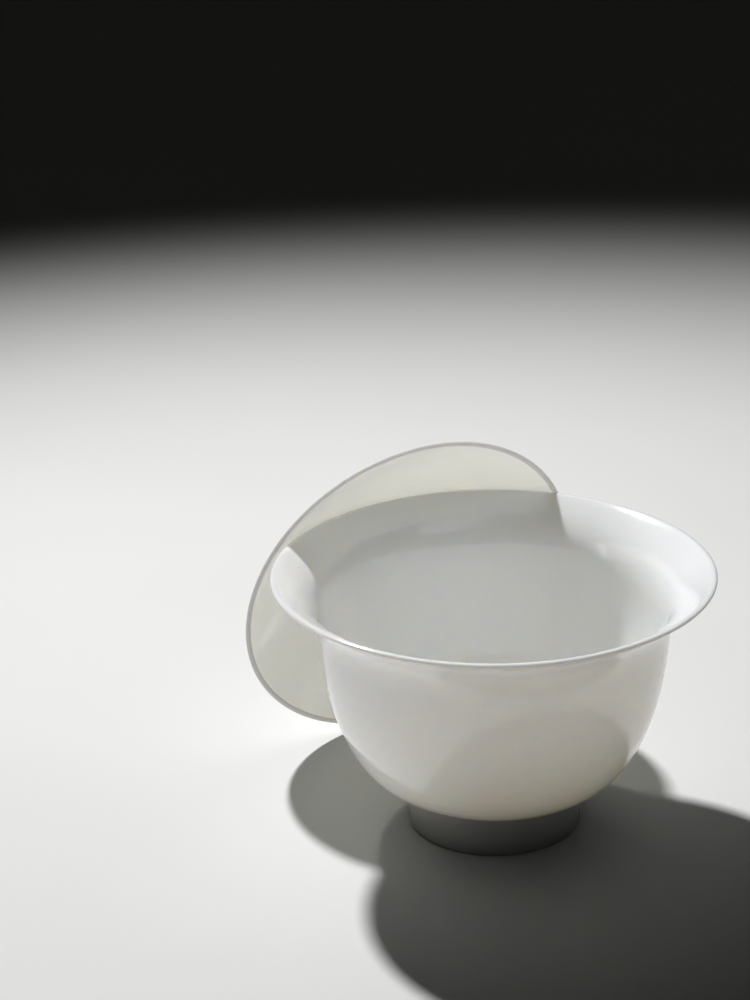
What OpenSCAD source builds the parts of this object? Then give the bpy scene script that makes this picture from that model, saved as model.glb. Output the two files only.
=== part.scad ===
// Two-piece gaiwan: an egg-shell porcelain bowl on a turned foot ring, and its domed lid
// with a ring knob. The lid stands on its edge and leans against the bowl's flared lip.
// Millimetres, +Z up. The origin is the centre of the foot ring on the table, and the
// lid leans on the +Y side.

/* [Bowl] */
// Diameter over the flared lip
lip_d = 100; // [92:1:108]
// Height from the table to the top of the lip
bowl_h = 61.5; // [58:0.5:66]
// Outer diameter of the upright part below the flare
waist_d = 79.8; // [76:0.2:84]
// Height where the upright part would stand plumb
waist_z = 52; // [50:1:54]
// Height where the flare starts to leave the upright part
flare_z = 45.5; // [43:0.5:48]
// Slope of the flare at the lip, above level
lip_slope = 25; // [20:1:32]
// Fullness of the belly at its shoulder
belly_side = 4.7; // [4:0.1:5.4]
// Fullness of the belly below its shoulder
belly_drop = 1.7; // [1.5:0.05:2]

/* [Foot ring] */
// Outer diameter of the foot ring
foot_d = 39.6; // [36:0.2:44]
// Height of the bowl's underside above the table
base_z = 8.9; // [7:0.1:11]
// Thickness of the foot ring's wall at the table
foot_wall = 2.6; // [2:0.1:3.4]

/* [Lid] */
// Diameter over the lid's rim
lid_d = 85; // [82:0.5:88]
// Height of the dome above its rim, outside
dome_h = 17; // [15:0.5:19]
// Fullness of the dome: 2 is a parabola, more is fuller towards the rim
dome_crown = 2.1; // [2:0.05:2.4]
// Outer diameter of the knob's free edge
knob_d = 24; // [20:1:28]
// Height of the knob above the dome's crown
knob_h = 8.5; // [7:0.5:10]
// Lean of the standing lid, away from plumb
lean = 17.3; // [15:0.1:20]

/* [Walls] */
// Thickness of the porcelain at the lip and at the lid's rim
edge_wall = 0.9; // [0.7:0.05:1.2]
// Thickness of the bowl's floor
floor_wall = 2.2; // [1.8:0.1:2.8]
// Thickness of the dome at its crown
crown_wall = 1.5; // [1.2:0.1:2]

/* [Hidden] */
$fn = 96;

porcelain = [0.93, 0.93, 0.90];
porcelain_bare = [0.88, 0.86, 0.81];

waist_r = waist_d / 2;
foot_r = foot_d / 2;
lid_r = lid_d / 2;
knob_r = knob_d / 2;
nose_r = edge_wall / 2;          // the lip and the lid's rim end in a half round
skin_step = 5;                   // degrees of the superellipse between two outline points
flare_steps = 14;                // stretches of outline along the flare
dome_steps = 20;                 // stretches of outline from the lid's rim to its crown
arc_steps = 6;                   // stretches of outline round a nose, bevel or fillet
lean_gap = 0.3;                  // clear space between the lip and the lid that leans on it
lean_passes = 6;                 // rounds of the search for the lid's standing place
seam_room = 0.5;                 // an outline's point this close to a seam is left to the seam

// A point and its coordinates in an outline: [radius, height].
function point_r(p) = p[0];
function point_z(p) = p[1];

// Arc of an outline about a centre, from one angle to another.
function arc(centre, radius, from, to) =
    [for (i = [0 : arc_steps]) let (a = from + (to - from) * i / arc_steps)
        centre + radius * [cos(a), sin(a)]];

// Unit normal of an outline at point i, on the right of its direction of travel.
function normal_at(points, i) =
    let (last = len(points) - 1,
         along = points[min(i + 1, last)] - points[max(i - 1, 0)],
         size = norm(along))
    [along[1], -along[0]] / size;

// ---- Bowl ----

lip_centre = [lip_d / 2 - nose_r, bowl_h - nose_r];
lip_outside = lip_centre + nose_r * [sin(lip_slope), -cos(lip_slope)];
flare_reach = point_r(lip_outside) - waist_r;
flare_rise = point_z(lip_outside) - flare_z;
flare_power = flare_rise / (flare_reach * tan(lip_slope));

// How far the flare stands out from the upright part at a height.
function flare_at(z) = flare_reach * pow(max(z - flare_z, 0) / flare_rise, flare_power);

// Outer radius of the belly, a superellipse, at a height.
function belly_r(z) =
    waist_r * pow(1 - pow(max(waist_z - z, 0) / (waist_z - base_z), belly_drop), 1 / belly_side);

// Height of the belly's outer skin at a radius near the foot.
function belly_z(r) =
    waist_z - (waist_z - base_z) * pow(1 - pow(r / waist_r, belly_side), 1 / belly_drop);

// Wall thickness of the bowl at a height: thick at the floor, thin at the lip.
function bowl_wall(z) =
    let (up = (z - base_z) / (bowl_h - base_z))
    edge_wall + (floor_wall - edge_wall) * pow(1 - min(up, 1), 3);

// Angle on the superellipse where the belly reaches the flare's start.
flare_angle = asin(pow((waist_z - flare_z) / (waist_z - base_z), belly_drop / 2));

belly_skin = [for (i = [0 : floor((90 - flare_angle) / skin_step)])
    let (a = 90 - i * skin_step)
    [waist_r * pow(max(cos(a), 0), 2 / belly_side),
     waist_z - (waist_z - base_z) * pow(sin(a), 2 / belly_drop)]];
flare_skin = [for (i = [0 : flare_steps])
    let (z = flare_z + flare_rise * i / flare_steps)
    [belly_r(z) + flare_at(z), z]];
bowl_outside = concat(
    [for (p = belly_skin) if (point_z(p) < flare_z - seam_room) p],
    flare_skin);
bowl_inside = [for (i = [0 : len(bowl_outside) - 1])
    let (p = bowl_outside[i], side = i == 0 ? [0, -1] : normal_at(bowl_outside, i))
    p - bowl_wall(point_z(p)) * side];

// The foot ring meets the belly along one straight stretch of both outlines.
foot_fillet = 0.8;
foot_bevel = 0.7;                // the inside edge is rounded; the outside is trimmed square
foot_inside_r = foot_r - foot_wall;
foot_draft = 0.6;                // the recess narrows by this much towards its roof
seam_out = [foot_r + foot_fillet, belly_z(foot_r + foot_fillet)];
seam_in = [foot_inside_r - foot_draft, belly_z(foot_inside_r - foot_draft)];

module bowl_body() {
    outer = [for (i = [len(bowl_outside) - 1 : -1 : 0])
        if (point_r(bowl_outside[i]) > point_r(seam_out) + seam_room) bowl_outside[i]];
    color(porcelain)
        rotate_extrude()
            polygon(concat(
                bowl_inside,
                arc(lip_centre, nose_r, 90 + lip_slope, lip_slope - 90),
                outer,
                [seam_out, seam_in, [0, base_z]]));
}

module foot_ring() {
    fillet_centre = [foot_r + foot_fillet, point_z(seam_out) - foot_fillet];
    color(porcelain_bare)
        rotate_extrude()
            polygon(concat(
                [seam_in],
                arc([foot_inside_r + foot_bevel, foot_bevel], foot_bevel, 180, 270),
                [[foot_r, 0]],
                arc(fillet_centre, foot_fillet, 180, 90)));
}

// ---- Lid, in its own frame: the rim lies in the XY plane and the knob points up ----

rim_slope = atan(dome_h * dome_crown / lid_r);
rim_centre = [lid_r - nose_r, 0];
rim_outside = rim_centre + nose_r * [sin(rim_slope), cos(rim_slope)];
dome_rise = dome_h - point_z(rim_outside);

// Height of the dome's outer skin at a radius.
function dome_z(r) = dome_h - dome_rise * pow(r / point_r(rim_outside), dome_crown);

// Wall thickness of the dome at a height above its rim.
function dome_wall(z) = edge_wall + (crown_wall - edge_wall) * z / dome_h;

dome_outside = [for (i = [0 : dome_steps])
    let (r = point_r(rim_outside) * (1 - i / dome_steps))
    [r, dome_z(r)]];
dome_inside = [for (i = [0 : len(dome_outside) - 1])
    let (p = dome_outside[i],
         last = len(dome_outside) - 1,
         side = i == 0 ? [sin(rim_slope), cos(rim_slope)]
             : i == last ? [0, 1] : normal_at(dome_outside, i))
    p - dome_wall(point_z(p)) * side];

knob_wall = 1.7;
knob_waist = 2.2;                // the knob narrows by this to its root, so fingers can hold it
knob_root_r = knob_r - knob_waist;
knob_fillet = 0.8;
knob_seam_out = [knob_root_r + knob_fillet, dome_z(knob_root_r + knob_fillet)];
knob_seam_in = [knob_root_r - knob_wall, dome_z(knob_root_r - knob_wall)];

module lid_dome_shape() {
    outer = [for (p = dome_outside) if (point_r(p) > point_r(knob_seam_out) + seam_room) p];
    inner = [for (i = [len(dome_inside) - 1 : -1 : 0]) dome_inside[i]];
    rotate_extrude()
        polygon(concat(
            outer,
            [knob_seam_out, knob_seam_in, [0, dome_h]],
            inner,
            arc(rim_centre, nose_r, 270 - rim_slope, 450 - rim_slope)));
}

module lid_knob_shape() {
    top_z = dome_h + knob_h;
    nose = knob_wall / 2;
    fillet_centre = [knob_root_r + knob_fillet, point_z(knob_seam_out) + knob_fillet];
    rotate_extrude()
        polygon(concat(
            [knob_seam_in],
            arc(fillet_centre, knob_fillet, 270, 180),
            arc([knob_r - nose, top_z - nose], nose, 0, 180)));
}

// ---- The lid's standing place ----

// Depth of the dome's inner skin below its rim plane at a radius.
function inner_depth(r) = lookup(r, [for (p = dome_inside) [point_r(p), point_z(p)]]);

// The lowest point of the leaning rim touches the table.
lid_z = (lid_r - nose_r) * cos(lean) + nose_r;

// Distance of the lid's centre from the bowl's axis at which the dome's inside just clears
// the lip. Each pass takes the depth where the last pass put the lip in the dome.
function lean_y(y, passes) =
    let (lip = [lip_d / 2 - nose_r - y, bowl_h - nose_r - lid_z],
         up_the_lid = point_z(lip) * cos(lean) - point_r(lip) * sin(lean),
         depth = inner_depth(abs(up_the_lid)) - lean_gap - nose_r)
    passes == 0 ? y
    : lean_y(lip_d / 2 - nose_r - (depth - point_z(lip) * sin(lean)) / cos(lean), passes - 1);
lid_y = lean_y(lid_r, lean_passes);

module in_lid_place() {
    translate([0, lid_y, lid_z]) rotate([lean - 90, 0, 0]) children();
}

module lid_dome() {
    color(porcelain) in_lid_place() lid_dome_shape();
}

module lid_knob() {
    color(porcelain_bare) in_lid_place() lid_knob_shape();
}

bowl_body();
foot_ring();
lid_dome();
lid_knob();
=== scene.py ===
"""A gaiwan in egg-shell porcelain: a flared bowl on its foot ring, and its domed lid with a
ring knob, standing on its edge and leaning on the bowl's lip.

Every piece is a turned form: an outline of (radius, height) points in millimetres, carried
round an axis. The bowl's axis is the frame's Z axis, and the lid has its own, leaning axis.
"""

import logging
import math
from dataclasses import dataclass
from enum import Enum

import bpy
import numpy as np
from mathutils import Matrix, Vector

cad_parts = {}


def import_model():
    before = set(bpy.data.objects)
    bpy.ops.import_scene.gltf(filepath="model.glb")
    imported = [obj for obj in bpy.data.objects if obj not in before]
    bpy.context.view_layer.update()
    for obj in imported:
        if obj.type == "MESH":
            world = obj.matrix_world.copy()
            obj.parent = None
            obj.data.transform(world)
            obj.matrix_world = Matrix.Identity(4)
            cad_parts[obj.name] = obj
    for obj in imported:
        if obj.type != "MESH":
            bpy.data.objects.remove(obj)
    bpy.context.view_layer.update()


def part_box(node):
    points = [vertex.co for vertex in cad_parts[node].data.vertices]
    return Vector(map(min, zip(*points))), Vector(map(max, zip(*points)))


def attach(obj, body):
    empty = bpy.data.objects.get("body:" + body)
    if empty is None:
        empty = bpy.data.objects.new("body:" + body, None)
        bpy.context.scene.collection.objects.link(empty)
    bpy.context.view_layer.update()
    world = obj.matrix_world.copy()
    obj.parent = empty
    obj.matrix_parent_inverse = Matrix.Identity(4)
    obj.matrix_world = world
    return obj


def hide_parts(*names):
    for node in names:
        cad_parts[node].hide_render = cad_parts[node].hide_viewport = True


log = logging.getLogger("gaiwan")
MM = 0.001


# ---------------------------------------------------------------- turned surfaces


def arc(centre: tuple[float, float], radius: float, start: float, stop: float,
        count: int = 12) -> np.ndarray:
    """Points evenly round a circle: centre + radius * (cos a, sin a).

    Args:
        centre: The circle's centre, (radius, height) in mm.
        radius: The circle's radius in mm.
        start: First angle in degrees.
        stop: Last angle in degrees.
        count: Number of stretches.

    Returns:
        An array of count + 1 points.
    """
    a = np.radians(np.linspace(start, stop, count + 1))
    return np.stack([centre[0] + radius * np.cos(a), centre[1] + radius * np.sin(a)], 1)


def skin_normals(skin: np.ndarray) -> np.ndarray:
    """Unit normals of an open outline, on the right of its direction of travel.

    The tangent at each point is the difference of its two neighbours, (dr, dz), and the
    normal is (dz, -dr) divided by the tangent's length.

    Args:
        skin: Points (n, 2).

    Returns:
        Normals (n, 2).
    """
    along = np.gradient(skin, axis=0)
    side = np.stack([along[:, 1], -along[:, 0]], 1)
    return side / np.linalg.norm(side, axis=1, keepdims=True)


def stand(name: str, data: bpy.types.ID) -> bpy.types.Object:
    """Puts a new object into the scene, at the origin.

    Args:
        name: The object's name.
        data: Its mesh, lamp or camera.

    Returns:
        The object.
    """
    thing = bpy.data.objects.new(name, data)
    bpy.context.scene.collection.objects.link(thing)
    return thing


def point_at(lamp: bpy.types.Object, aim: Vector) -> None:
    """Turns a lamp, which shines along its own -Z, towards a place."""
    lamp.rotation_euler = (lamp.location - aim).to_track_quat("Z", "Y").to_euler()


@dataclass(frozen=True)
class HandTurning:
    """How far a fired, turned form strays from a true circle.

    Args:
        oval_mm: How much the lip is pulled in along its short way.
        lip_dip_mm: How much the lip sags between its three high places.
        phase: Where round the form the wide way lies, in degrees.
        start_height: Height in mm below which the form is true.
        full_height: Height in mm where the straying reaches its full amount.
    """

    oval_mm: float
    lip_dip_mm: float
    phase: float
    start_height: float
    full_height: float

    def stray(self, radius: np.ndarray, height: np.ndarray,
              angle: np.ndarray) -> tuple[np.ndarray, np.ndarray]:
        """Radius and height of each grid point after straying.

        The amount w rises smoothly from 0 to 1 between the two heights. The radius loses
        oval * w * (1 - cos(2 (angle - phase))) / 2, in step with its share of the lip's
        radius, and the height loses dip * w * (1 - cos(3 (angle - phase))) / 2.

        Args:
            radius: Radii (n, 1) in mm.
            height: Heights (n, 1) in mm.
            angle: Angles (1, m) in radians.

        Returns:
            The new radii and heights, each (n, m).
        """
        t = (height - self.start_height) / (self.full_height - self.start_height)
        t = np.clip(t, 0.0, 1.0)
        amount = t * t * (3.0 - 2.0 * t)
        turn = angle - math.radians(self.phase)
        share = radius / radius.max()
        pulled = self.oval_mm * amount * share * (1.0 - np.cos(2.0 * turn)) / 2.0
        dipped = self.lip_dip_mm * amount * (1.0 - np.cos(3.0 * turn)) / 2.0
        return radius - pulled, height - dipped


@dataclass(frozen=True)
class TurnedSurface:
    """An outline carried round an axis.

    Args:
        outline: Points (n, 2) of (radius, height) in mm, travelled with the solid on the
            left hand.
        closed: True for a ring, whose outline is a loop clear of the axis. Otherwise the
            outline runs from the axis to the axis, and each end is one pole point.
        turns: Number of stretches round the axis.
        straying: How far the form is from true, or None.
    """

    outline: np.ndarray
    closed: bool
    turns: int
    straying: HandTurning | None = None

    def rings(self) -> np.ndarray:
        """The outline's points that go round as rings: all but the poles."""
        return self.outline if self.closed else self.outline[1:-1]

    def points(self) -> np.ndarray:
        """The points of the grid, row by row, and after them the poles.

        Point (i, j) of the grid is (r_i cos a_j, r_i sin a_j, z_i), with a_j = 2 pi j / m.

        Returns:
            Points (n, 3) in mm, in the form's own frame.
        """
        angle = np.linspace(0.0, 2.0 * np.pi, self.turns, endpoint=False)[None, :]
        radius, height = np.hsplit(self.rings(), 2)
        if self.straying:
            radius, height = self.straying.stray(radius, height, angle)
        grid = np.stack(np.broadcast_arrays(
            radius * np.cos(angle), radius * np.sin(angle), height), -1).reshape(-1, 3)
        if self.closed:
            return grid
        poles = [[0.0, 0.0, self.outline[end, 1]] for end in (0, -1)]
        return np.vstack([grid, poles])

    def faces(self) -> tuple[np.ndarray, np.ndarray]:
        """The faces: one of four corners between each two points of each two rows, and a
        fan of three-cornered faces round each pole.

        Returns:
            The corners' point numbers, face after face, and each face's number of corners.
        """
        rows, cols = len(self.rings()), self.turns
        here = np.arange(rows * cols).reshape(rows, cols)
        if self.closed:
            here = np.vstack([here, here[:1]])
        there = np.roll(here, -1, axis=1)
        quads = np.stack([here[:-1], there[:-1], there[1:], here[1:]], -1).reshape(-1, 4)
        loops, sizes = quads.reshape(-1), np.full(len(quads), 4)
        if self.closed:
            return loops, sizes
        first, last = np.full(cols, rows * cols), np.full(cols, rows * cols + 1)
        low = np.stack([first, there[0], here[0]], -1)
        high = np.stack([last, here[-1], there[-1]], -1)
        return (np.concatenate([loops, low.reshape(-1), high.reshape(-1)]),
                np.concatenate([sizes, np.full(2 * cols, 3)]))

    def mesh(self, name: str, place: Matrix) -> bpy.types.Object:
        """Makes the surface an object.

        Args:
            name: The object's name.
            place: Where the form's own frame lies in the row frame, in metres.

        Returns:
            The object, at the origin, with smooth faces that point outwards.
        """
        turn = np.array(place.to_3x3())
        points = self.points() * MM @ turn.T + np.array(place.translation)
        loops, sizes = self.faces()
        mesh = bpy.data.meshes.new(name)
        mesh.vertices.add(len(points))
        mesh.vertices.foreach_set("co", points.astype(np.float32).ravel())
        mesh.loops.add(len(loops))
        mesh.loops.foreach_set("vertex_index", loops.astype(np.int32))
        mesh.polygons.add(len(sizes))
        starts = np.concatenate([[0], np.cumsum(sizes)[:-1]])
        mesh.polygons.foreach_set("loop_start", starts.astype(np.int32))
        mesh.polygons.foreach_set("loop_total", sizes.astype(np.int32))
        mesh.update(calc_edges=True)
        mesh.validate()
        mesh.shade_smooth()
        return stand(name, mesh)


# ---------------------------------------------------------------- finishes


class Graph:
    """A node tree being built: makes nodes, sets their sockets and links them."""

    def __init__(self, tree: bpy.types.NodeTree) -> None:
        """Takes the tree to build in."""
        self.tree = tree

    def fill(self, socket: bpy.types.NodeSocket, value: object) -> None:
        """Links a socket to another one, or sets it to a value.

        Args:
            socket: The input socket.
            value: The output socket to link, or the value.
        """
        if isinstance(value, bpy.types.NodeSocket):
            self.tree.links.new(value, socket)
        else:
            socket.default_value = value

    def node(self, kind: str, settings: dict | None = None,
             **sockets: object) -> bpy.types.Node:
        """Makes a node.

        Args:
            kind: The node's type name.
            settings: Properties of the node, by name.
            **sockets: Input values or output sockets to link, by the input's name with
                spaces as underscores, or by its index as _0, _1 and so on.

        Returns:
            The node.
        """
        made = self.tree.nodes.new(kind)
        for key, value in (settings or {}).items():
            setattr(made, key, value)
        for key, value in sockets.items():
            place = int(key[1:]) if key[0] == "_" else key.replace("_", " ")
            self.fill(made.inputs[place], value)
        return made

    def maths(self, operation: str, *values: object) -> bpy.types.NodeSocket:
        """Result of a Math node with the given operation, on numbers or sockets."""
        sockets = {f"_{i}": value for i, value in enumerate(values)}
        return self.node("ShaderNodeMath", {"operation": operation}, **sockets).outputs[0]

    def mix(self, factor: object, first: object, second: object) -> bpy.types.NodeSocket:
        """Mix of two colours, where the factor is the share of the second."""
        made = self.node("ShaderNodeMix", {"data_type": "RGBA"}, _0=factor, _6=first,
                         _7=second)
        return made.outputs[2]

    def noise(self, vector: bpy.types.NodeSocket, scale: float,
              detail: float = 2.0) -> bpy.types.NodeSocket:
        """Value of a noise: scale is its cells to the metre, detail its finer layers."""
        return self.node("ShaderNodeTexNoise", Vector=vector, Scale=scale,
                         Detail=detail).outputs[0]

    def cells(self, vector: bpy.types.NodeSocket, scale: float) -> tuple[
            bpy.types.NodeSocket, bpy.types.NodeOutputs]:
        """Random cells.

        Args:
            vector: Where to look them up.
            scale: How many there are to the metre.

        Returns:
            The distance from a cell's middle, and three random values of the cell.
        """
        made = self.node("ShaderNodeTexVoronoi", Vector=vector, Scale=scale)
        pick = self.node("ShaderNodeSeparateColor", Color=made.outputs["Color"])
        return made.outputs["Distance"], pick.outputs

    def ramp(self, value: object, low: object, high: float,
             bottom: float = 0.0, top: float = 1.0) -> bpy.types.NodeSocket:
        """A value carried smoothly from one range to another.

        Args:
            value: The value.
            low: Where the result is bottom, as a number or a socket.
            high: Where the result is top.
            bottom: Result at low.
            top: Result at high.

        Returns:
            The output socket.
        """
        made = self.node("ShaderNodeMapRange", {"interpolation_type": "SMOOTHSTEP"},
                         Value=value, From_Min=low, From_Max=high, To_Min=bottom, To_Max=top)
        return made.outputs["Result"]


def blank_material(name: str) -> tuple[bpy.types.Material, Graph]:
    """Makes a material with no nodes in it.

    Args:
        name: The material's name.

    Returns:
        The material, and what builds in its tree.
    """
    made = bpy.data.materials.new(name)
    made.use_nodes = True
    made.node_tree.nodes.clear()
    return made, Graph(made.node_tree)


class SharedEffect:
    """A node group that several finishes use, built once.

    Each effect has a name, its inputs and outputs as pairs of title and socket type, and a
    build method, which fills the group and gives the socket for each output by its title.
    """

    name: str = ""
    inputs: tuple[tuple[str, str], ...] = ()
    outputs: tuple[tuple[str, str], ...] = ()

    def group(self) -> bpy.types.NodeTree:
        """The effect's node group, made on first use.

        Returns:
            The group.
        """
        found = bpy.data.node_groups.get(self.name)
        if found:
            return found
        tree = bpy.data.node_groups.new(self.name, "ShaderNodeTree")
        for title, kind in self.inputs:
            tree.interface.new_socket(title, in_out="INPUT", socket_type=kind)
        for title, kind in self.outputs:
            tree.interface.new_socket(title, in_out="OUTPUT", socket_type=kind)
        graph = Graph(tree)
        results = self.build(graph, tree.nodes.new("NodeGroupInput").outputs)
        end = tree.nodes.new("NodeGroupOutput")
        for title, socket in results.items():
            tree.links.new(socket, end.inputs[title])
        return tree

    def build(self, graph: Graph,
              given: bpy.types.NodeOutputs) -> dict[str, bpy.types.NodeSocket]:
        """Fills the group from its inputs, and gives the socket for each output."""
        raise NotImplementedError

    def place(self, graph: Graph, **sockets: object) -> bpy.types.Node:
        """Puts the effect into a material.

        Args:
            graph: The material's tree.
            **sockets: Values or links for the effect's inputs.

        Returns:
            The group node.
        """
        made = graph.tree.nodes.new("ShaderNodeGroup")
        made.node_tree = self.group()
        for key, value in sockets.items():
            graph.fill(made.inputs[key.replace("_", " ")], value)
        return made


class KilnTone(SharedEffect):
    """Slow drift between two whites, with fine mottling and sparse iron specks.

    The drift is noise a few centimetres across, the mottling noise of about 2 mm. A speck
    lies at the middle of a cell of about 2 mm, in the few cells whose random value is
    under the amount, and its radius varies from cell to cell. Scales are in cells to the
    metre, and a speck's sizes in shares of its cell.
    """

    DRIFT_SCALE, MOTTLE_SCALE, SPECK_SCALE = 28.0, 420.0, 520.0
    DRIFT_SHARE, MOTTLE_SHARE, SPECK_SHARE = 0.75, 0.35, 0.55
    DRIFT_RANGE, MOTTLE_RANGE = (0.36, 0.66), (0.35, 0.70)
    SPECK_HEART, SPECK_LEAST, SPECK_SPREAD = 0.02, 0.05, 0.08

    name = "kiln tone"
    inputs = (("Vector", "NodeSocketVector"), ("Main", "NodeSocketColor"),
              ("Drift", "NodeSocketColor"), ("Speck Colour", "NodeSocketColor"),
              ("Specks", "NodeSocketFloat"))
    outputs = (("Color", "NodeSocketColor"),)

    def build(self, graph: Graph,
              given: bpy.types.NodeOutputs) -> dict[str, bpy.types.NodeSocket]:
        """Builds the effect.

        Args:
            graph: The group's tree.
            given: The group's inputs.

        Returns:
            The socket for each output, by its title.
        """
        slow = graph.noise(given["Vector"], self.DRIFT_SCALE, detail=3.0)
        fine = graph.noise(given["Vector"], self.MOTTLE_SCALE)
        drift = graph.ramp(slow, *self.DRIFT_RANGE)
        mottle = graph.ramp(fine, *self.MOTTLE_RANGE, 0.0, self.MOTTLE_SHARE)
        share = graph.maths("MINIMUM", graph.maths("ADD", graph.maths(
            "MULTIPLY", drift, self.DRIFT_SHARE), mottle), 1.0)
        tone = graph.mix(share, given["Main"], given["Drift"])
        cells, pick = graph.cells(given["Vector"], self.SPECK_SCALE)
        chosen = graph.maths("LESS_THAN", pick[0], given["Specks"])
        size = graph.maths("MULTIPLY_ADD", pick[1], self.SPECK_SPREAD, self.SPECK_LEAST)
        speck = graph.maths("MULTIPLY", chosen, graph.ramp(cells, size, self.SPECK_HEART))
        weight = graph.maths("MULTIPLY", speck, self.SPECK_SHARE)
        return {"Color": graph.mix(weight, tone, given["Speck Colour"])}


class GlazeSkin(SharedEffect):
    """The relief of a fired glaze, in millimetres.

    Turning rings: the sine of the distance from the axis plus the height, over the ring
    pitch, made to sway and to fade in and out by slow noise. Orange peel: noise of about
    1.5 mm. Pinholes: small pits in a few cells of about 4 mm.
    """

    SLOW_SCALE, PEEL_SCALE, PIT_SCALE = 45.0, 650.0, 240.0
    SWAY = 0.004
    FADE_RANGE, FAINTEST = (0.35, 0.65), 0.25
    PIT_RADIUS, PIT_MM = 0.045, 0.02

    name = "glaze skin"
    inputs = (("Vector", "NodeSocketVector"), ("Rings", "NodeSocketFloat"),
              ("Ring Pitch", "NodeSocketFloat"), ("Peel", "NodeSocketFloat"),
              ("Pinholes", "NodeSocketFloat"))
    outputs = (("Height", "NodeSocketFloat"),)

    def build(self, graph: Graph,
              given: bpy.types.NodeOutputs) -> dict[str, bpy.types.NodeSocket]:
        """Builds the effect.

        Args:
            graph: The group's tree.
            given: The group's inputs.

        Returns:
            The socket for each output, by its title.
        """
        axes = graph.node("ShaderNodeSeparateXYZ", Vector=given["Vector"])
        across = graph.maths("SQRT", graph.maths(
            "ADD", graph.maths("MULTIPLY", axes.outputs[0], axes.outputs[0]),
            graph.maths("MULTIPLY", axes.outputs[1], axes.outputs[1])))
        slow = graph.noise(given["Vector"], self.SLOW_SCALE, detail=1.0)
        path = graph.maths("ADD", graph.maths("ADD", across, axes.outputs[2]),
                           graph.maths("MULTIPLY", slow, self.SWAY))
        wave = graph.maths("SINE", graph.maths(
            "MULTIPLY", graph.maths("DIVIDE", path, given["Ring Pitch"]), 2.0 * math.pi))
        fade = graph.ramp(slow, *self.FADE_RANGE, self.FAINTEST)
        rings = graph.maths("MULTIPLY", graph.maths("MULTIPLY", wave, fade), given["Rings"])
        peel = graph.noise(given["Vector"], self.PEEL_SCALE, detail=1.5)
        relief = graph.maths("MULTIPLY_ADD", peel, given["Peel"], rings)
        cells, pick = graph.cells(given["Vector"], self.PIT_SCALE)
        chosen = graph.maths("LESS_THAN", pick[2], given["Pinholes"])
        pit = graph.maths("MULTIPLY", chosen, graph.ramp(cells, self.PIT_RADIUS, 0.0))
        return {"Height": graph.maths("MULTIPLY_ADD", pit, -self.PIT_MM, relief)}


class BareEdge(SharedEffect):
    """A mask of 1 where an edge was wiped clean of glaze before firing.

    The mask falls from 1 to 0 as the height in the piece's own frame passes the edge's
    height, over the fade, and the line wanders with noise of about 3 mm. The grain is noise
    of about a quarter of a millimetre.
    """

    WANDER_SCALE, GRAIN_SCALE = 330.0, 4200.0

    name = "bare edge"
    inputs = (("Vector", "NodeSocketVector"), ("Height", "NodeSocketFloat"),
              ("Fade", "NodeSocketFloat"), ("Wander", "NodeSocketFloat"))
    outputs = (("Mask", "NodeSocketFloat"), ("Grain", "NodeSocketFloat"))

    def build(self, graph: Graph,
              given: bpy.types.NodeOutputs) -> dict[str, bpy.types.NodeSocket]:
        """Builds the effect.

        Args:
            graph: The group's tree.
            given: The group's inputs.

        Returns:
            The socket for each output, by its title.
        """
        up = graph.node("ShaderNodeSeparateXYZ", Vector=given["Vector"]).outputs[2]
        noise = graph.noise(given["Vector"], self.WANDER_SCALE)
        off = graph.maths("MULTIPLY", graph.maths("SUBTRACT", noise, 0.5), given["Wander"])
        line = graph.maths("ADD", given["Height"], off)
        share = graph.maths("DIVIDE", graph.maths("SUBTRACT", line, up), given["Fade"])
        grain = graph.noise(given["Vector"], self.GRAIN_SCALE)
        return {"Mask": graph.ramp(share, 0.0, 1.0), "Grain": grain}


class Zone(Enum):
    """Which edge of a piece is left bare: its height, fade and wander in metres."""

    NONE = None
    FOOT = (0.0011, 0.0004, 0.0007)
    # The lid's bare rim band carries its finish's dark grey, painted shade along the rim's
    # edge.
    LID_RIM = (0.0001, 0.00012, 0.00006)


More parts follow.
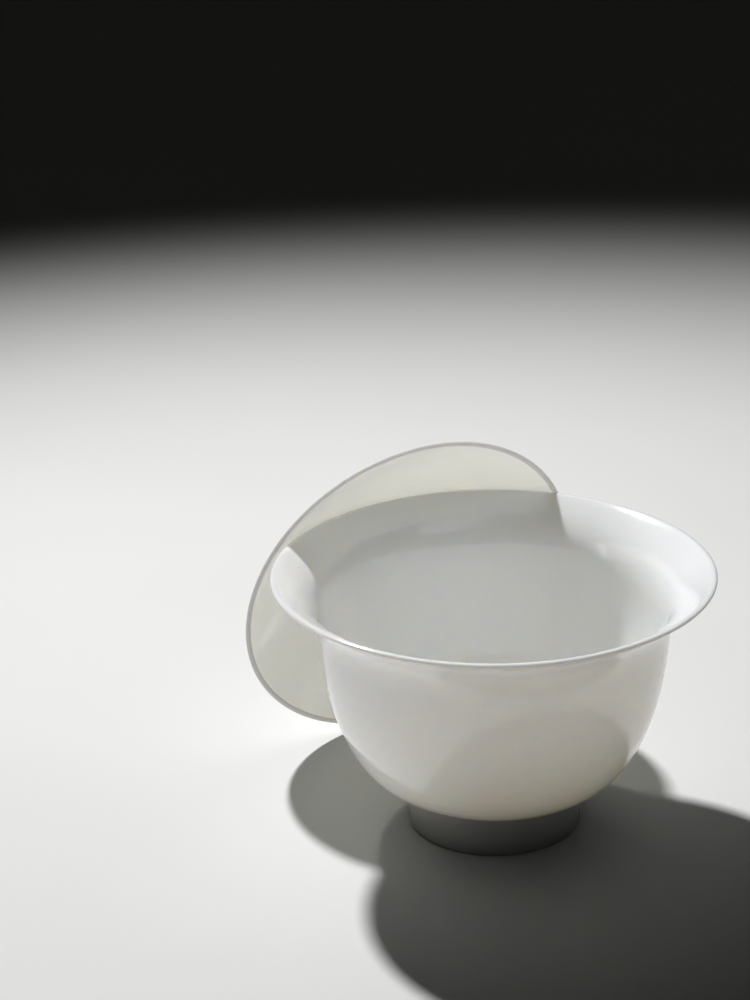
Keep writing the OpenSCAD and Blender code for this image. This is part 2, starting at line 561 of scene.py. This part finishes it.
@dataclass(frozen=True)
class EggShellPorcelain:
    """Thin white porcelain that light comes through, under a clear gloss glaze.

    Args:
        main: The fired body's white.
        drift: The white it drifts to where the glaze lies thicker.
        speck: Colour of the iron specks.
        bare: Colour of the clay where there is no glaze; the lid's rim and the foot darken it
            as painted shade.
        specks: Share of the 2 mm cells that hold a speck.
        roughness: Roughness of the glaze.
        bare_roughness: Roughness of the bare clay.
        glow_radius: How far light goes in the clay, in metres, for red, green and blue.
        rings_mm: Height of the turning rings under the glaze.
        ring_pitch: Distance between the rings in metres.
        peel_mm: Height of the glaze's orange peel.
        pinholes: Share of the 4 mm cells that hold a pinhole.
        coat: Weight of the glaze's clear coat.
        coat_roughness: Roughness of the clear coat.
        refraction: Refractive index of the glaze.
        pass_through: Colour of the lamps' light that goes on past each skin of the wall,
            or black.
    """

    SMEAR_SCALE, SMEAR_RANGE, SMEAR_SHARES = 90.0, (0.3, 0.7), (0.8, 1.35)
    GRIT_RANGE, GRIT_SHARE, GRIT_TONE, GRIT_MM = (0.35, 0.7), 0.3, 0.8, 0.04

    main: tuple[float, float, float] = (0.948, 0.947, 0.917)
    drift: tuple[float, float, float] = (0.925, 0.935, 0.908)
    speck: tuple[float, float, float] = (0.34, 0.27, 0.20)
    bare: tuple[float, float, float] = (0.74, 0.70, 0.63)
    specks: float = 0.012
    roughness: float = 0.09
    bare_roughness: float = 0.72
    glow_radius: tuple[float, float, float] = (0.00158, 0.00137, 0.00107)
    rings_mm: float = 0.011
    ring_pitch: float = 0.0042
    peel_mm: float = 0.014
    pinholes: float = 0.02
    coat: float = 0.3
    coat_roughness: float = 0.06
    refraction: float = 1.5
    pass_through: tuple[float, float, float] = (0.0, 0.0, 0.0)

    def material(self, name: str, own_frame: Matrix, zone: Zone) -> bpy.types.Material:
        """Makes the finish for one piece.

        Args:
            name: The material's name.
            own_frame: Where the piece's own frame lies in the row frame.
            zone: Which edge is bare.

        Returns:
            The material.
        """
        made, graph = blank_material(name)
        inverse = own_frame.inverted()
        turned = graph.node(
            "ShaderNodeMapping", Vector=graph.node("ShaderNodeTexCoord").outputs["Object"],
            Location=inverse.translation, Rotation=inverse.to_euler()).outputs[0]
        tone = KilnTone().place(graph, Vector=turned, Main=(*self.main, 1.0),
                                Drift=(*self.drift, 1.0), Speck_Colour=(*self.speck, 1.0),
                                Specks=self.specks)
        skin = GlazeSkin().place(graph, Vector=turned, Rings=self.rings_mm,
                                 Ring_Pitch=self.ring_pitch, Peel=self.peel_mm,
                                 Pinholes=self.pinholes)
        colour, height = tone.outputs["Color"], skin.outputs["Height"]
        smear = graph.noise(turned, self.SMEAR_SCALE)
        rough = graph.ramp(smear, *self.SMEAR_RANGE,
                           *(share * self.roughness for share in self.SMEAR_SHARES))
        coat = self.coat
        if zone is not Zone.NONE:
            line, fade, wander = zone.value
            edge = BareEdge().place(graph, Vector=turned, Height=line, Fade=fade,
                                    Wander=wander)
            mask, grain = edge.outputs["Mask"], edge.outputs["Grain"]
            glazed = graph.maths("SUBTRACT", 1.0, mask)
            gritty = graph.mix(graph.ramp(grain, *self.GRIT_RANGE, 0.0, self.GRIT_SHARE),
                               (*self.bare, 1.0),
                               (*(self.GRIT_TONE * part for part in self.bare), 1.0))
            colour = graph.mix(mask, colour, gritty)
            rough = graph.maths("ADD", graph.maths("MULTIPLY", rough, glazed),
                                graph.maths("MULTIPLY", mask, self.bare_roughness))
            height = graph.maths("MULTIPLY_ADD", graph.maths("MULTIPLY", grain, mask),
                                 self.GRIT_MM, height)
            coat = graph.maths("MULTIPLY", glazed, self.coat)
        bump = graph.node("ShaderNodeBump", Height=height, Strength=1.0, Distance=MM)
        surface = graph.node(
            "ShaderNodeBsdfPrincipled", Base_Color=colour, Roughness=rough,
            Normal=bump.outputs[0], IOR=self.refraction, Subsurface_Weight=1.0,
            Subsurface_Radius=self.glow_radius, Subsurface_Scale=1.0,
            Coat_Weight=coat, Coat_Roughness=self.coat_roughness, Coat_IOR=self.refraction)
        shader = surface.outputs[0]
        if max(self.pass_through) > 0.0:
            shadow = graph.node("ShaderNodeLightPath").outputs["Is Shadow Ray"]
            clear = graph.node("ShaderNodeBsdfTransparent", Color=(*self.pass_through, 1.0))
            shader = graph.node("ShaderNodeMixShader", _0=shadow, _1=shader,
                                _2=clear.outputs[0]).outputs[0]
        graph.node("ShaderNodeOutputMaterial", Surface=shader)
        return made


@dataclass(frozen=True)
class TablePaper:
    """The pale matt paper that the studio's table is covered with.

    Args:
        pale: The paper's colour.
        shade: Its colour where the fibres lie thicker.
        roughness: Its roughness.
        fibre_depth: Height of its fibres in metres.
    """

    CLOUD_SCALE, CLOUD_RANGE, FIBRE_SCALE, FIBRE_STRENGTH = 6.0, (0.3, 0.7), 900.0, 0.25

    pale: tuple[float, float, float] = (0.80, 0.80, 0.79)
    shade: tuple[float, float, float] = (0.775, 0.775, 0.765)
    roughness: float = 0.75
    fibre_depth: float = 0.00005

    def material(self) -> bpy.types.Material:
        """Makes the finish.

        Returns:
            The material.
        """
        made, graph = blank_material("table_paper")
        place = graph.node("ShaderNodeTexCoord").outputs["Object"]
        cloud = graph.noise(place, self.CLOUD_SCALE, detail=3.0)
        fibre = graph.noise(place, self.FIBRE_SCALE)
        tone = graph.mix(graph.ramp(cloud, *self.CLOUD_RANGE), (*self.pale, 1.0),
                         (*self.shade, 1.0))
        bump = graph.node("ShaderNodeBump", Height=fibre, Strength=self.FIBRE_STRENGTH,
                          Distance=self.fibre_depth)
        surface = graph.node("ShaderNodeBsdfPrincipled", Base_Color=tone,
                             Roughness=self.roughness, Normal=bump.outputs[0])
        graph.node("ShaderNodeOutputMaterial", Surface=surface.outputs[0])
        return made


# ---------------------------------------------------------------- the bowl


@dataclass
class Bowl:
    """The flared bowl and the foot ring that it stands on. Sizes in mm and degrees.

    Args:
        lip_d: Diameter over the lip.
        height: Height to the top of the lip.
        waist_d: Diameter of the upright part below the flare.
        waist_z: Height where the upright part would stand plumb.
        flare_z: Height where the flare leaves the upright part.
        lip_slope: Slope of the flare at the lip.
        belly_side: Fullness of the belly at its shoulder.
        belly_drop: Fullness of the belly below its shoulder.
        base_z: Height of the underside.
        foot_d: Diameter of the foot ring.
        foot_wall: Thickness of the foot ring at the table.
        foot_draft: How much the recess narrows towards its roof.
        edge_wall: Thickness at the lip.
        lip_roll: Radius that the wall's middle line rolls over with at the lip.
        lip_fall: Slope at which the rolled lip ends, downwards.
        floor_wall: Thickness of the floor.
        finish: The porcelain of the thin wall.
        painted_shade_foot_finish: The foot ring's white porcelain with a short glow for its
            thick clay, its whites greyed as painted shade under the bowl.
        straying: How far the fired body is from true.
    """

    BELLY_POINTS, FLARE_POINTS = 90, 48
    BODY_TURNS, FOOT_TURNS = 320, 256
    FOOT_BLEND, FOOT_INNER_SOFT, FOOT_OUTER_SOFT, FOOT_SUNK = 0.8, 0.7, 0.3, 0.35

    lip_d: float = 100.0
    height: float = 61.5
    waist_d: float = 79.8
    waist_z: float = 52.0
    flare_z: float = 45.5
    lip_slope: float = 27.5
    belly_side: float = 4.7
    belly_drop: float = 1.7
    base_z: float = 8.9
    foot_d: float = 39.6
    foot_wall: float = 2.6
    foot_draft: float = 0.6
    edge_wall: float = 0.9
    lip_roll: float = 1.2
    lip_fall: float = 12.0
    floor_wall: float = 2.2
    finish: EggShellPorcelain = EggShellPorcelain()
    # Painted shade: the foot is the same white porcelain, greyed to stand for the deep shade
    # under the bowl; the short glow is its thick clay.
    painted_shade_foot_finish: EggShellPorcelain = EggShellPorcelain(
        main=(0.54, 0.53, 0.50), drift=(0.50, 0.50, 0.48), bare=(0.46, 0.45, 0.42),
        glow_radius=(0.0003, 0.0003, 0.00025))
    straying: HandTurning = HandTurning(
        oval_mm=0.35, lip_dip_mm=0.25, phase=62.0, start_height=30.0, full_height=61.0)

    def belly_radius(self, z: np.ndarray) -> np.ndarray:
        """Outer radius of the belly: R (1 - (drop below the waist)^d)^(1/s).

        Args:
            z: Heights in mm.

        Returns:
            Radii in mm.
        """
        down = np.maximum(self.waist_z - z, 0.0) / (self.waist_z - self.base_z)
        return self.waist_d / 2 * (1.0 - down ** self.belly_drop) ** (1.0 / self.belly_side)

    def belly_height(self, r: float) -> float:
        """Height of the belly's outer skin at a radius near the foot."""
        share = 1.0 - (2.0 * r / self.waist_d) ** self.belly_side
        return self.waist_z - (self.waist_z - self.base_z) * share ** (1.0 / self.belly_drop)

    def roll_centre(self) -> tuple[float, float]:
        """The centre that the lip rolls about, inside and below the lip's crest."""
        nose = self.edge_wall / 2
        return (self.lip_d / 2 - nose - self.lip_roll * math.sin(math.radians(self.lip_fall)),
                self.height - nose - self.lip_roll)

    def outer_skin(self) -> np.ndarray:
        """The outside, from the axis up to the lip.

        The belly is a superellipse: r = R cos(a)^(2/s), z = waist - H sin(a)^(2/d). Above
        it the radius adds reach * (share of the flare's rise)^p, with p set so that the
        skin meets the lip at the lip's slope.

        Returns:
            Points (n, 2) in mm.
        """
        slope = math.radians(self.lip_slope)
        centre, under = self.roll_centre(), self.lip_roll - self.edge_wall / 2
        lip = (centre[0] - under * math.sin(slope), centre[1] + under * math.cos(slope))
        reach, rise = lip[0] - self.waist_d / 2, lip[1] - self.flare_z
        power = rise / (reach * math.tan(slope))
        full = self.waist_z - self.base_z
        top = math.asin(((self.waist_z - self.flare_z) / full) ** (self.belly_drop / 2))
        a = np.linspace(math.pi / 2, top, self.BELLY_POINTS)[:-1]
        belly = np.stack([
            self.waist_d / 2 * np.maximum(np.cos(a), 0.0) ** (2 / self.belly_side),
            self.waist_z - full * np.sin(a) ** (2 / self.belly_drop)], 1)
        belly[0, 0] = 0.0
        z = self.flare_z + rise * np.linspace(0.0, 1.0, self.FLARE_POINTS)
        share = (z - self.flare_z) / rise
        flare = np.stack([self.belly_radius(z) + reach * share ** power, z], 1)
        return np.vstack([belly, flare])

    def wall(self, z: np.ndarray) -> np.ndarray:
        """Wall thickness: thick at the floor, falling with the cube of the way up."""
        up = np.minimum((z - self.base_z) / (self.height - self.base_z), 1.0)
        return self.edge_wall + (self.floor_wall - self.edge_wall) * (1.0 - up) ** 3

    def body_outline(self) -> np.ndarray:
        """The whole wall: up the inside from the floor's middle, over the rolled lip, down
        the outside and across the underside to the axis. The top of the lip is an arc of the
        roll's radius and half the wall, its edge is a round nose, and its underside is an arc
        of the roll's radius less half the wall.

        Returns:
            Points (n, 2) in mm.
        """
        outer = self.outer_skin()
        side = skin_normals(outer)
        side[0] = (0.0, -1.0)
        inner = outer - self.wall(outer[:, 1])[:, None] * side
        inner[0, 0] = 0.0
        nose, centre, fall = self.edge_wall / 2, self.roll_centre(), 90 - self.lip_fall
        tip = (self.lip_d / 2 - nose,
               centre[1] + self.lip_roll * math.cos(math.radians(self.lip_fall)))
        crest = arc(centre, self.lip_roll + nose, 90 + self.lip_slope, fall, count=10)
        edge = arc(tip, nose, fall, fall - 180, count=12)
        under = arc(centre, self.lip_roll - nose, fall, 90 + self.lip_slope, count=8)
        return np.vstack([inner, crest[1:], edge[1:-1], under[:-1], outer[::-1]])

    def foot_outline(self) -> np.ndarray:
        """The foot ring as a loop: its rounded standing edge, its plumb outside, the small
        hollow curve that blends it into the belly, a top that is sunk in the belly, and the
        inside, which narrows towards the roof.

        Returns:
            Points (n, 2) in mm.
        """
        out, into = self.foot_d / 2, self.foot_d / 2 - self.foot_wall
        inner, outer, blend = self.FOOT_INNER_SOFT, self.FOOT_OUTER_SOFT, self.FOOT_BLEND
        seam = self.belly_height(out + blend)
        roof = self.belly_height(into - self.foot_draft)
        return np.vstack([
            arc((into + inner, inner), inner, 180, 270, count=10),
            arc((out - outer, outer), outer, 270, 360, count=8),
            arc((out + blend, seam - blend), blend, 180, 90, count=12),
            [[out + blend, seam + self.FOOT_SUNK],
             [into - self.foot_draft, roof + self.FOOT_SUNK]]])

    def build(self) -> list[bpy.types.Object]:
        """Makes, dresses and attaches the bowl's pieces.

        Returns:
            The pieces.
        """
        place = Matrix.Identity(4)
        body = TurnedSurface(self.body_outline()[::-1], closed=False, turns=self.BODY_TURNS,
                             straying=self.straying)
        foot = TurnedSurface(self.foot_outline(), closed=True, turns=self.FOOT_TURNS)
        pieces = []
        for surface, name, node, finish, zone in (
                (body, "porcelain_bowl", "bowl_body", self.finish, Zone.NONE),
                (foot, "porcelain_foot_ring", "foot_ring", self.painted_shade_foot_finish, Zone.FOOT)):
            piece = surface.mesh(name, place)
            piece.data.materials.append(finish.material(name, place, zone))
            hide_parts(node)
            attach(piece, "bowl")
            log.info("%s: %d points", name, len(piece.data.vertices))
            pieces.append(piece)
        return pieces


# ---------------------------------------------------------------- the lid


@dataclass
class Lid:
    """The domed lid and its ring knob, in the lid's own frame: the rim lies in the XY plane
    and the knob points up. Sizes in mm and degrees.

    Args:
        rim_d: Diameter over the rim.
        dome_h: Height of the dome outside.
        crown: Fullness of the dome; 2 is a parabola.
        edge_wall: Thickness at the rim.
        crown_wall: Thickness at the crown.
        knob_d: Diameter of the knob's free edge.
        knob_h: Height of the knob above the crown.
        knob_wall: Thickness of the knob.
        knob_waist: How much the knob narrows towards its root.
        lean: Lean of the standing lid away from plumb.
        finish: The porcelain. Its bare rim is a grey darker than clay: partly the unglazed
            rim, partly painted shade along the rim's edge.
    """

    DOME_POINTS, DOME_TURNS, KNOB_TURNS = 90, 384, 192
    KNOB_BLEND, KNOB_SUNK = 0.8, 0.5

    rim_d: float = 85.0
    dome_h: float = 17.0
    crown: float = 2.1
    edge_wall: float = 0.9
    crown_wall: float = 1.5
    knob_d: float = 24.0
    knob_h: float = 8.5
    knob_wall: float = 1.7
    knob_waist: float = 2.2
    lean: float = 17.3
    finish: EggShellPorcelain = EggShellPorcelain(
        main=(0.955, 0.955, 0.902), drift=(0.932, 0.943, 0.896),
        glow_radius=(0.0051, 0.0048, 0.0039), pass_through=(0.32, 0.32, 0.30),
        # Painted shade: the bare rim's grey, darker than clay, draws the shade along the lid's
        # rim edge.
        bare=(0.50, 0.50, 0.55))

    def standing_place(self) -> Matrix:
        """Where the lid's own frame lies: tipped back from plumb, on its lowest rim point.

        The rim's highest edge is the lid's least Y, so the centre's Y is that edge plus
        the rim's reach.

        Returns:
            The place, in metres.
        """
        nose, lean = self.edge_wall / 2, math.radians(self.lean)
        reach = self.rim_d / 2 - nose
        low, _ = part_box("lid_dome")
        centre = Vector((0.0, low.y + (reach * math.sin(lean) + nose) * MM,
                         (reach * math.cos(lean) + nose) * MM))
        return Matrix.Translation(centre) @ Matrix.Rotation(lean - math.pi / 2, 4, "X")

    def rim_slope(self) -> float:
        """Slope of the dome at its rim, in radians."""
        return math.atan(2.0 * self.dome_h * self.crown / self.rim_d)

    def dome_reach(self) -> tuple[float, float]:
        """Radius and height where the outer skin meets the rounded rim."""
        nose, slope = self.edge_wall / 2, self.rim_slope()
        return (self.rim_d / 2 - nose + nose * math.sin(slope), nose * math.cos(slope))

    def dome_height(self, r: np.ndarray) -> np.ndarray:
        """Height of the outer skin: crown height less rise * (r / reach)^crown."""
        reach, low = self.dome_reach()
        return self.dome_h - (self.dome_h - low) * (r / reach) ** self.crown

    def dome_outline(self) -> np.ndarray:
        """The dome's wall: from the crown down the outside, round the rim, and up the
        inside to the axis. The inside is the outside moved back along its normal by the
        wall's thickness, which grows with the height.

        Returns:
            Points (n, 2) in mm.
        """
        nose, slope = self.edge_wall / 2, self.rim_slope()
        reach, _ = self.dome_reach()
        r = reach * (1.0 - np.linspace(0.0, 1.0, self.DOME_POINTS))
        outer = np.stack([r, self.dome_height(r)], 1)
        side = skin_normals(outer)
        side[0], side[-1] = (math.sin(slope), math.cos(slope)), (0.0, 1.0)
        thick = self.edge_wall + (self.crown_wall - self.edge_wall) * outer[:, 1] / self.dome_h
        inner = outer - thick[:, None] * side
        rim = arc((self.rim_d / 2 - nose, 0.0), nose,
                  90 - math.degrees(slope), -90 - math.degrees(slope), count=12)
        return np.vstack([outer[::-1], rim[1:-1], inner])

    def knob_outline(self) -> np.ndarray:
        """The ring knob as a loop: a hollow curve out of the dome, a straight flare to the
        rounded free edge, and the inside of the ring down to a root sunk in the dome.

        Returns:
            Points (n, 2) in mm.
        """
        blend, sunk, nose = self.KNOB_BLEND, self.KNOB_SUNK, self.knob_wall / 2
        root = self.knob_d / 2 - self.knob_waist
        top = self.dome_h + self.knob_h
        foot_out = float(self.dome_height(np.array(root + blend)))
        foot_in = float(self.dome_height(np.array(root - self.knob_wall)))
        return np.vstack([
            [[root - self.knob_wall, foot_in - sunk], [root + blend, foot_out - sunk]],
            arc((root + blend, foot_out + blend), blend, 270, 180, count=12),
            arc((self.knob_d / 2 - nose, top - nose), nose, 0, 180, count=16)])

    def build(self) -> None:
        """Makes, dresses and attaches the lid's pieces."""
        place = self.standing_place()
        dome = TurnedSurface(self.dome_outline()[::-1], closed=False, turns=self.DOME_TURNS)
        knob = TurnedSurface(self.knob_outline(), closed=True, turns=self.KNOB_TURNS)
        for surface, name, node, zone, glaze in (
                (dome, "porcelain_lid", "lid_dome", Zone.LID_RIM, "lid_glaze"),
                (knob, "porcelain_ring_knob", "lid_knob", Zone.NONE, "knob_glaze")):
            piece = surface.mesh(name, place)
            piece.data.materials.append(self.finish.material(name, place, zone))
            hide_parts(node)
            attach(piece, "lid")
            log.info("%s: %d points", name, len(piece.data.vertices))


# ---------------------------------------------------------------- the studio


@dataclass(frozen=True)
class Softbox:
    """A weak square softbox that is flagged off everything but the bowl's body.

    Args:
        name: Its name.
        place: Its place in metres.
        size: Its side in metres.
        power: Its power in watts.
    """

    AIM = (0.0, 0.0, 0.03)

    name: str
    place: tuple[float, float, float]
    size: float
    power: float

    def build(self, lit: bpy.types.Collection) -> None:
        """Makes the softbox, turned to the bowl.

        Args:
            lit: What it lights.
        """
        data = bpy.data.lights.new(self.name, "AREA")
        data.energy, data.shape, data.size = self.power, "SQUARE", self.size
        lamp = stand(self.name, data)
        lamp.location = self.place
        lamp.light_linking.receiver_collection = lit
        point_at(lamp, Vector(self.AIM))


@dataclass
class Studio:
    """The papered table, the lamps and the camera. Lengths in metres, angles in degrees.

    Args:
        table_side: Side of the square table.
        lamp_from: Direction from the bowl to the main lamp.
        lamp_distance: Distance of the main lamp.
        lamp_size: Diameter of the main lamp.
        lamp_power: Power of the main lamp in watts.
        lamp_aim: The place on the table that the lamp points at.
        lamp_cone: Full angle of the lamp's hood.
        lamp_softness: How softly the pool of light ends, from 0 to 1.
        fills: The weak softboxes that lift the bowl's left side and its shaded flare.
        sky: Strength of the even light all round.
        sky_tint: Its colour.
        camera_at: The camera's place.
        camera_azimuth: The way the camera looks, from +Y towards +X.
        camera_down: How far it looks down.
        camera_roll: Its roll.
        lens: Focal length in mm, for a picture 36 mm on its long side.
    """

    NEAREST, FARTHEST = 0.01, 50.0

    table_side: float = 12.0
    lamp_from: tuple[float, float, float] = (-0.035, 0.60, 0.80)
    lamp_distance: float = 1.3
    lamp_size: float = 0.08
    lamp_power: float = 74.5
    lamp_aim: tuple[float, float, float] = (-0.015, -0.165, 0.0)
    lamp_cone: float = 60.5
    lamp_softness: float = 1.0
    fills: tuple[Softbox, ...] = (
        Softbox("side_softbox", place=(-1.05, 0.44, 0.40), size=0.5, power=1.85),
        Softbox("top_softbox", place=(0.10, -0.60, 0.85), size=0.5, power=0.78))
    sky: float = 0.008
    sky_tint: tuple[float, float, float] = (1.0, 1.0, 0.88)
    camera_at: tuple[float, float, float] = (-0.23696, -0.45577, 0.27818)
    camera_azimuth: float = 24.577
    camera_down: float = 21.247
    camera_roll: float = -1.294
    lens: float = 90.0

    def table(self) -> None:
        """Makes the table's top as one flat square."""
        half = self.table_side / 2
        mesh = bpy.data.meshes.new("table")
        corners = [(-half, -half, 0.0), (half, -half, 0.0),
                   (half, half, 0.0), (-half, half, 0.0)]
        mesh.from_pydata(corners, [], [(0, 1, 2, 3)])
        mesh.materials.append(TablePaper().material())
        top = stand("table", mesh)

    def lamp(self) -> None:
        """Makes the main lamp: a round lamp with a hood, whose soft-edged pool of light
        lies round the bowl and the lid.
        """
        data = bpy.data.lights.new("main_lamp", "SPOT")
        data.energy, data.shadow_soft_size = self.lamp_power, self.lamp_size / 2
        data.spot_size, data.spot_blend = math.radians(self.lamp_cone), self.lamp_softness
        lamp = stand("main_lamp", data)
        lamp.location = Vector(self.lamp_from).normalized() * self.lamp_distance
        point_at(lamp, Vector(self.lamp_aim))

    def camera(self) -> None:
        """Makes the camera.

        The way it looks is (sin az cos d, cos az cos d, -sin d); its right and up sides
        are turned about that way by the roll.
        """
        az, down, roll = (math.radians(x) for x in (
            self.camera_azimuth, self.camera_down, self.camera_roll))
        ahead = Vector((math.sin(az) * math.cos(down), math.cos(az) * math.cos(down),
                        -math.sin(down)))
        level = Vector((math.cos(az), -math.sin(az), 0.0))
        upright = level.cross(ahead)
        right = math.cos(roll) * level + math.sin(roll) * upright
        up = -math.sin(roll) * level + math.cos(roll) * upright
        data = bpy.data.cameras.new("camera")
        data.lens, data.clip_start, data.clip_end = self.lens, self.NEAREST, self.FARTHEST
        camera = stand("camera", data)
        turn = Matrix((right, up, -ahead)).transposed().to_4x4()
        camera.matrix_world = Matrix.Translation(Vector(self.camera_at)) @ turn
        bpy.context.scene.camera = camera

    def build(self, lit: bpy.types.Object) -> None:
        """Makes the table, the lamps, the even light and the camera.

        Args:
            lit: The piece that the softboxes light.
        """
        self.table()
        self.lamp()
        receivers = bpy.data.collections.new("lit_by_softboxes")
        receivers.objects.link(lit)
        for fill in self.fills:
            fill.build(receivers)
        world = bpy.data.worlds.new("even_light")
        world.use_nodes = True
        ground = world.node_tree.nodes["Background"]
        ground.inputs["Color"].default_value = (*self.sky_tint, 1.0)
        ground.inputs["Strength"].default_value = self.sky
        bpy.context.scene.world = world
        self.camera()
        bpy.context.scene.view_settings.view_transform = "Standard"
        log.info("studio: table, lamp, even light and camera")


def main() -> None:
    """Builds the gaiwan and its studio round the frame."""
    logging.basicConfig(level=logging.INFO, format="%(name)s %(message)s")
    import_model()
    bowl = Bowl().build()
    Lid().build()
    Studio().build(bowl[0])
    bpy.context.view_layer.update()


if __name__ == "__main__":
    main()
